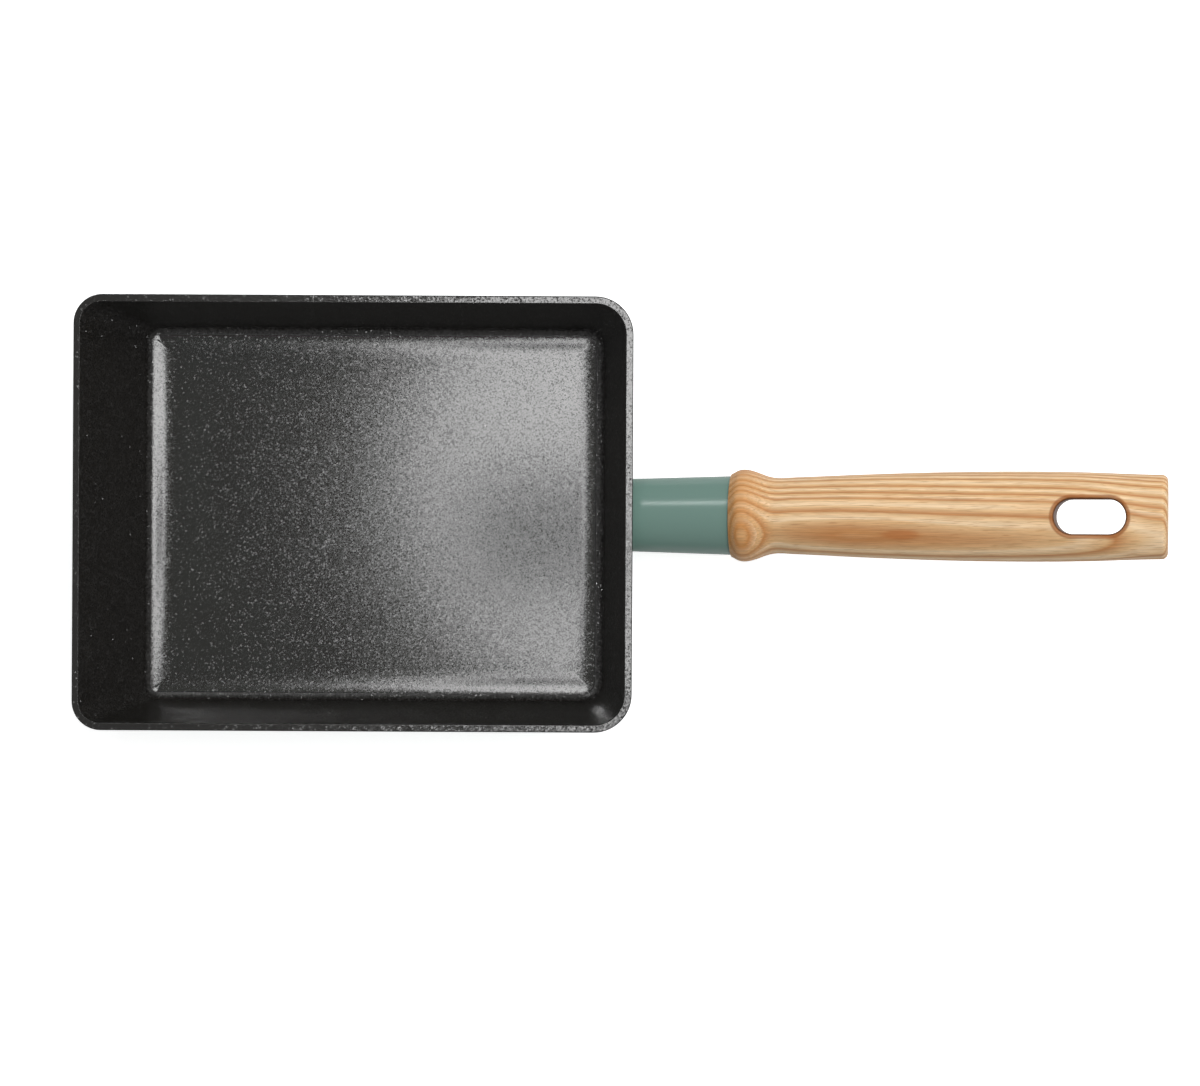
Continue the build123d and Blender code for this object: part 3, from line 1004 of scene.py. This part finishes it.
    def lug_rule(self, tree: NodeTree, given: NodeOutputs) -> Node:
        """Add the part of the tree that sets the drilled oval lug on the rear wall.

        Args:
            tree: The geometry tree.
            given: The tree's inputs.

        Returns:
            The node that gives the lug.
        """
        blanks = []
        for section, facets in (("Lug section", self.lug_facets), ("Lug bore", self.bore_facets)):
            sizes = {"Vertices": facets, "Radius": 1.0, "Depth": given["Lug length"]}
            inputs = {"Geometry": add_node(tree, "GeometryNodeMeshCylinder", sizes), "Scale": given[section]}
            blanks.append(add_node(tree, "GeometryNodeTransform", inputs))
        solid, bore = blanks
        drilled = add_node(tree, "GeometryNodeMeshBoolean", {"Mesh 1": solid}, operation="DIFFERENCE")
        tree.links.new(bore.outputs[0], drilled.inputs["Mesh 2"])
        # The end inside the wall is sheared parallel to it, so that nothing pokes through
        spot = add_node(tree, "GeometryNodeInputPosition")
        down, _, out = add_node(tree, "ShaderNodeSeparateXYZ", {0: spot}).outputs
        shear = -tan(radians(self.rear_draft + HANDLE_RISE))
        offset = add_node(tree, MATHS, {0: down, 1: shear}, operation="MULTIPLY")
        drawn = add_node(tree, "ShaderNodeCombineXYZ", {"Z": offset})
        at_wall = add_node(tree, "FunctionNodeCompare", {"A": out, "B": 0.0}, operation="LESS_THAN")
        inputs = {"Geometry": drilled, "Selection": at_wall, "Offset": drawn}
        sheared = add_node(tree, "GeometryNodeSetPosition", inputs)
        ways = {"Translation": given["Lug place"], "Rotation": given["Lug turn"]}
        placed = add_node(tree, "GeometryNodeTransform", {"Geometry": sheared, **ways})
        return self.marked(tree, placed, float(Zone.BARE))

    def build(self) -> list[Object]:
        """Make the shell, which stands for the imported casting.

        Returns:
            The shell alone.
        """
        reach = [size / 2 - self.stud_margin for size in (self.pocket_length, self.pocket_width)]
        columns, rows = (2 * int(side / (self.stud_pitch / 2)) + 1 for side in reach)
        axis = Vector((cos(radians(HANDLE_RISE)), 0, sin(radians(HANDLE_RISE))))
        lug_middle = Vector(HANDLE_ROOT) + axis * (self.lug_length - self.lug_sink) / 2
        width, height = (side / 2 * MM for side in self.lug_sides)
        bore = self.lug_bore / 2 * MM
        sizes = {
            "Length": self.length,
            "Width": self.width,
            "Middle": self.pocket_middle,
            "Stud radius": self.stud_radius,
            "Stud height": self.pocket_depth + self.stud_root,
            "Stud pitch": self.stud_pitch,
            "Lug length": self.lug_length + self.lug_sink,
            "Lug place": lug_middle,
        }
        finishes = {
            "Coating": Surface.COATING,
            "Wall coating": Surface.WALL,
            "Edge coating": Surface.EDGE,
            "Paint": Surface.PAINT,
            "Bare metal": Surface.CASTING,
        }
        values = {
            "Rings": len(list(self.rings())),
            "Corner steps": self.corner_steps,
            "Stud columns": columns,
            "Stud rows": rows,
            "Lug turn": (0, radians(90 - HANDLE_RISE), 0),
            "Lug section": (height, width, 1.0),
            "Lug bore": (bore, bore, self.bore_overrun),
            **{name: size * MM for name, size in sizes.items()},
            **{name: self.shop.get(surface) for name, surface in finishes.items()},
        }
        piece = grow("pan_shell", self.tree(), values, self.profile_mesh())
        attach(piece, "root")
        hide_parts("pan_body")
        return [piece]


@dataclass
class Underside:
    """The perforated steel sheet that lets the pan heat on an induction hob."""

    shop: FinishShop

    def build(self) -> list[Object]:
        """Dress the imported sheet."""
        return [self.shop.dress("induction_plate", Surface.SHEET)]


@dataclass
class Handle:
    """Collar, wooden grip and what holds them together."""

    shop: FinishShop

    def build(self) -> list[Object]:
        """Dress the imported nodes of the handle.

        Returns:
            The six pieces.
        """
        finishes = {
            "handle_collar": Surface.PAINT,
            "wood_grip": Surface.WOOD,
            "stay_rod": Surface.ZINC,
            "lock_washer": Surface.ZINC,
            "grip_screw": Surface.STAINLESS,
            "screw_washer": Surface.STAINLESS,
        }
        return [self.shop.dress(node, surface) for node, surface in finishes.items()]


class LampShape(Enum):
    """Outline of a lamp's face, with the share of its box that the face fills."""

    SQUARE = ("RECTANGLE", 1.0)
    ROUND = ("ELLIPSE", pi / 4)


@dataclass(frozen=True)
class Softbox:
    """A flat lamp: its middle, its aim, its sides, how bright its face is and whether gloss mirrors it."""

    name: str
    place: Triple
    aim: Triple
    sides: Pair
    radiance: float
    shape: LampShape = LampShape.SQUARE
    mirrored: bool = True

    def hang(self) -> None:
        """Add the lamp, with the power that gives its face the wanted brightness."""
        outline, filled = self.shape.value
        lamp = bpy.data.lights.new(self.name, "AREA")
        lamp.shape = outline
        lamp.size, lamp.size_y = self.sides
        lamp.energy = self.radiance * pi * self.sides[0] * self.sides[1] * filled
        holder = put(self.name, lamp)
        holder.location = self.place
        facing = (Vector(self.aim) - Vector(self.place)).to_track_quat("-Z", "Y")
        holder.rotation_euler = facing.to_euler()
        holder.visible_camera = False
        holder.visible_glossy = self.mirrored


@dataclass
class Studio:
    """White table, white room, lamps above the table and the camera that looks straight down.

    Its places and sides are in metres. The round lamp is the one that the coating mirrors, the bounces
    only give light, and the strip draws the highlight along the collar.
    """

    camera_place: Triple = (0.0794, -0.0091, 1.137)
    camera_roll: float = 0.3
    lens: float = 103.15
    sensor: float = 36.0
    sight: float = 20.0
    # The room's light, how bright the room looks in reflections, the table and its lift for the eye
    fill: float = 0.2
    room: float = 0.22
    floor_reach: float = 3.0
    floor_drop: float = 0.0002
    floor_white: float = 0.9
    floor_lift: float = 0.7
    body_place: Triple = (0.058, -0.001, 1.15)
    body_sides: Pair = (0.13, 0.075)
    body_colour: str = "#1C1C1C"
    softboxes: tuple[Softbox, ...] = (
        Softbox("top_softbox", (0.101, 0.036, 1.2), (0.101, 0.036, 0.0), (0.32, 0.32), 4.8, LampShape.ROUND),
        Softbox("rear_bounce", (0.80, 0.0, 0.95), (0.05, 0.0, 0.02), (1.0, 0.60), 3.0, mirrored=False),
        Softbox("side_bounce", (0.20, 0.62, 1.02), (0.08, 0.0, 0.02), (0.55, 0.66), 6.4, mirrored=False),
        Softbox("side_strip", (-0.32, 0.575, 1.05), (0.10, 0.0, 0.02), (0.20, 0.03), 48.0),
    )

    def add_camera(self) -> None:
        """Add the camera above the table."""
        camera = bpy.data.cameras.new("camera")
        camera.lens = self.lens
        camera.sensor_width = self.sensor
        camera.clip_end = self.sight
        holder = put("camera", camera)
        holder.location = self.camera_place
        holder.rotation_euler = (0, 0, radians(self.camera_roll))
        bpy.context.scene.camera = holder

    def lay(self, name: str, middle: Triple, sides: Pair, finish: str) -> tuple[Object, NodeTree]:
        """Add a level sheet to the stage.

        Args:
            name: The sheet's name.
            middle: Its middle.
            sides: Its length and width.
            finish: Its material's name.

        Returns:
            The sheet and its material's node tree.
        """
        x, y, z = middle
        length, width = (side / 2 for side in sides)
        turns = ((-1, -1), (1, -1), (1, 1), (-1, 1))
        mesh = bpy.data.meshes.new(name)
        mesh.from_pydata([(x + a * length, y + b * width, z) for a, b in turns], [], [(0, 1, 2, 3)])
        material = bpy.data.materials.new(finish)
        material.use_nodes = True
        mesh.materials.append(material)
        sheet = put(name, mesh)
        return sheet, material.node_tree

    def add_floor(self) -> None:
        """Add the white table, lifted for the eye alone and still dark under the object."""
        across = 2 * self.floor_reach
        _, tree = self.lay("floor", (0.0, 0.0, -self.floor_drop), (across, across), "white_card")
        tree.nodes.clear()
        white = (self.floor_white,) * 3 + (1.0,)
        card = add_node(tree, "ShaderNodeBsdfDiffuse", {"Color": white})
        known = {"camera": add_node(tree, "ShaderNodeLightPath").outputs["Is Camera Ray"]}
        add_steps(tree, MATHS, known, [("lift", "MULTIPLY", "camera", self.floor_lift)])
        glow = add_node(tree, "ShaderNodeEmission", {"Strength": known["lift"]})
        both = add_node(tree, "ShaderNodeAddShader", {0: card, 1: glow})
        add_node(tree, "ShaderNodeOutputMaterial", {"Surface": both})

    def add_camera_body(self) -> None:
        """Add the camera's own black body, which the coating mirrors as a darker patch."""
        body, tree = self.lay("camera_body", self.body_place, self.body_sides, "black_plastic")
        body.visible_camera = False
        tree.nodes["Principled BSDF"].inputs["Base Color"].default_value = linear(self.body_colour)

    def add_world(self) -> None:
        """Add the white room: plain white to the eye, dimmer in reflections, a soft fill as light."""
        world = bpy.data.worlds.new("white_room")
        world.use_nodes = True
        tree = world.node_tree
        tree.nodes.clear()
        rays = add_node(tree, "ShaderNodeLightPath").outputs
        known = {name: rays[f"Is {name} Ray"] for name in ("Camera", "Glossy", "Transmission")}
        steps = (
            ("mirrored", "MAXIMUM", "Camera", "Glossy"),
            ("seen plainly", "MAXIMUM", "mirrored", "Transmission"),
        )
        add_steps(tree, MATHS, known, steps)
        inputs = {"Factor": known["Camera"], "A": self.room, "B": 1.0}
        looks = add_node(tree, "ShaderNodeMix", inputs, data_type="FLOAT")
        inputs = {"Factor": known["seen plainly"], "A": self.fill, "B": looks}
        strength = add_node(tree, "ShaderNodeMix", inputs, data_type="FLOAT")
        light = add_node(tree, "ShaderNodeBackground", {"Strength": strength})
        add_node(tree, "ShaderNodeOutputWorld", {"Surface": light})
        bpy.context.scene.world = world

    def build(self) -> None:
        """Set the view, then light and floor."""
        bpy.context.scene.view_settings.view_transform = "Standard"
        self.add_camera()
        self.add_camera_body()
        self.add_floor()
        self.add_world()
        for softbox in self.softboxes:
            softbox.hang()


def main() -> None:
    """Build the studio, the pan and its handle in order, and report each piece."""
    logging.basicConfig(level=logging.INFO, format="%(name)s: %(message)s")
    Studio().build()
    shop = FinishShop()
    for part in (PanShell(shop), Underside(shop), Handle(shop)):
        for piece in part.build():
            log.info("%s has %d faces", piece.name, len(piece.data.polygons))


if __name__ == "__main__":
    main()
